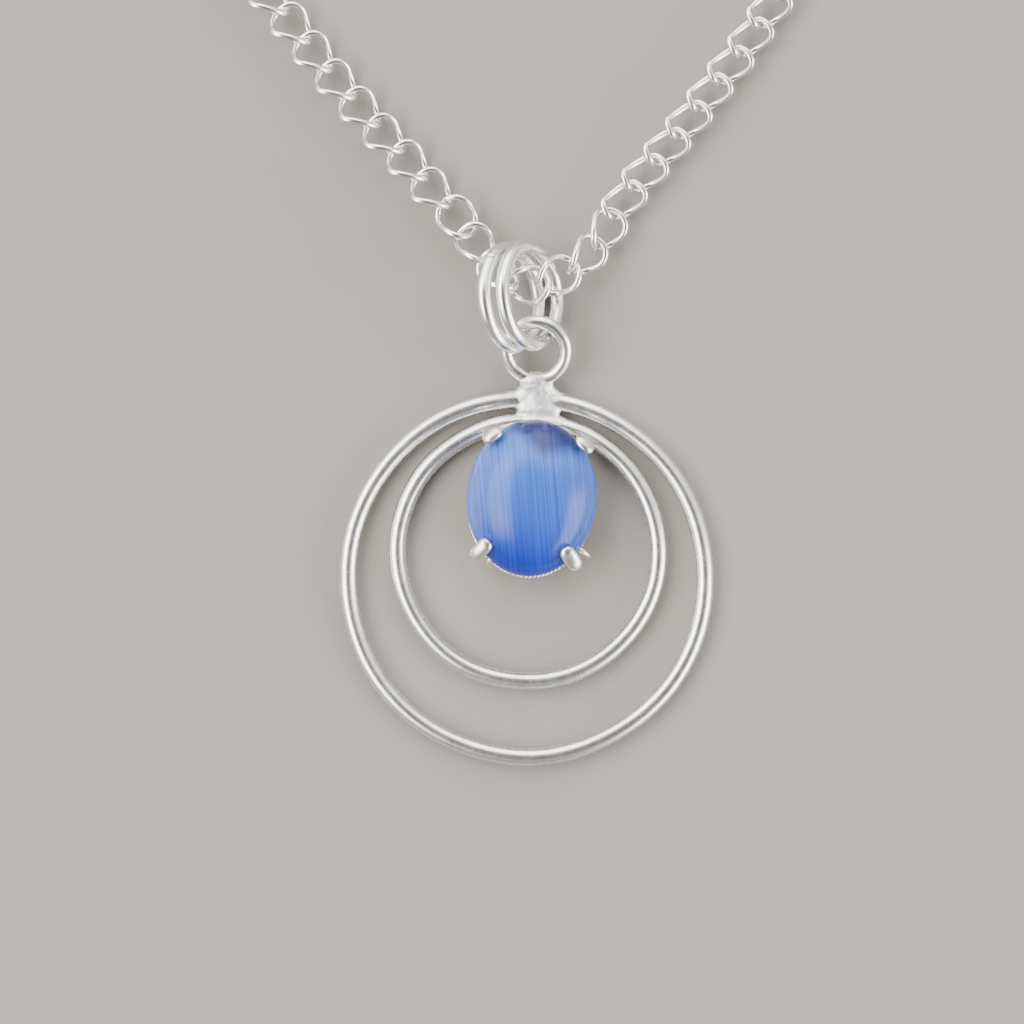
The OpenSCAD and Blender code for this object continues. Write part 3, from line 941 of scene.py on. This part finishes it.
def add_floor():
    bm = bmesh.new()
    corners = ((-1, -1), (1, -1), (1, 1), (-1, 1))
    bm.faces.new([bm.verts.new((x * FLOOR_HALF, y * FLOOR_HALF, FLOOR_Z)) for x, y in corners])
    mesh = bpy.data.meshes.new("floor")
    bm.to_mesh(mesh)
    bm.free()
    mesh.materials.append(paper())
    floor = bpy.data.objects.new("floor", mesh)
    bpy.context.scene.collection.objects.link(floor)


def add_world():
    """A photographer's tent: soft bright panels left, right and behind, and a dim opening overhead."""
    world = bpy.data.worlds.new("tent")
    bpy.context.scene.world = world
    n = Nodes(world, "Generated", "Background")
    x, y, z = n.add("ShaderNodeSeparateXYZ", {"Vector": n.place}).outputs

    def between(source, low, high, soft):
        """1 between two angles or heights, falling to 0 over soft on each side."""
        rise = n.spread(source, low - soft, low + soft, 0, 1, smooth=True)
        fall = n.spread(source, high - soft, high + soft, 1, 0, smooth=True)
        return n.math("MULTIPLY", rise, fall)

    from_left = n.math("ARCTAN2", n.math("MULTIPLY", x, -1), z)
    from_right = n.math("ARCTAN2", x, z)
    from_back = n.math("ARCTAN2", y, z)
    left = n.math("MULTIPLY", between(from_left, 0.46, 1.05, 0.14), between(y, -0.55, 0.60, 0.2))
    right = n.math("MULTIPLY", between(from_right, 0.85, 1.50, 0.12), between(y, -0.75, 0.05, 0.18))
    back = n.math("MULTIPLY", between(from_back, 0.55, 1.45, 0.2), between(x, -0.45, 0.45, 0.25))
    walls = n.spread(z, 0.95, 0.75, ROOM_OVERHEAD, ROOM_WALLS, smooth=True)
    room = n.math("MULTIPLY", walls, n.spread(y, -0.5, 0.2, ROOM_FRONT, 1.0, smooth=True))
    for panel, strength in ((left, PANEL_LEFT), (right, PANEL_RIGHT), (back, PANEL_BACK)):
        room = n.math("ADD", room, n.math("MULTIPLY", panel, strength))
    n.set(Strength=room, Color=(1.0, 0.99, 0.975, 1))


# ---------------------------------------------------------------- the necklace

add_camera()
left_chain, left_path, right_chain, right_path = build_chain()
build_hoop("outer_hoop_wire", "outer_hoop", 1.0)
build_hoop("inner_hoop_wire", "inner_hoop", 2.0)
build_eye()
build_solder()
build_jump_ring("jump_ring_left_wire", "jump_ring_left", 130)
build_jump_ring("jump_ring_right_wire", "jump_ring_right", -52)
build_stone()
build_gallery()
build_base()
build_setting_solder()
build_claw("claw_upper_left", "prong_upper_left", 127.0, 6.15, 5.12, 1.75, 0.9)
build_claw("claw_upper_right", "prong_upper_right", 50.0, 6.22, 5.20, 1.70, 0.9)
build_claw("claw_lower_left", "prong_lower_left", 230.5, 6.10, 4.55, 1.20, 1.9, stub=True)
build_claw("claw_lower_right", "prong_lower_right", 308.0, 6.15, 4.50, 1.24, 1.9, stub=True)
build_clasp_body()
build_clasp_small_parts()
build_small_ring("clasp_ring_wire", "clasp_ring", 1.6 * MM, 0.33 * MM, turned(-10, 78, 4), "clasp_ring")
build_small_ring("end_ring_wire", "end_ring", 1.9 * MM, 0.4 * MM, turned(-34, -30, -35), "end_ring")

add_floor()
add_world()
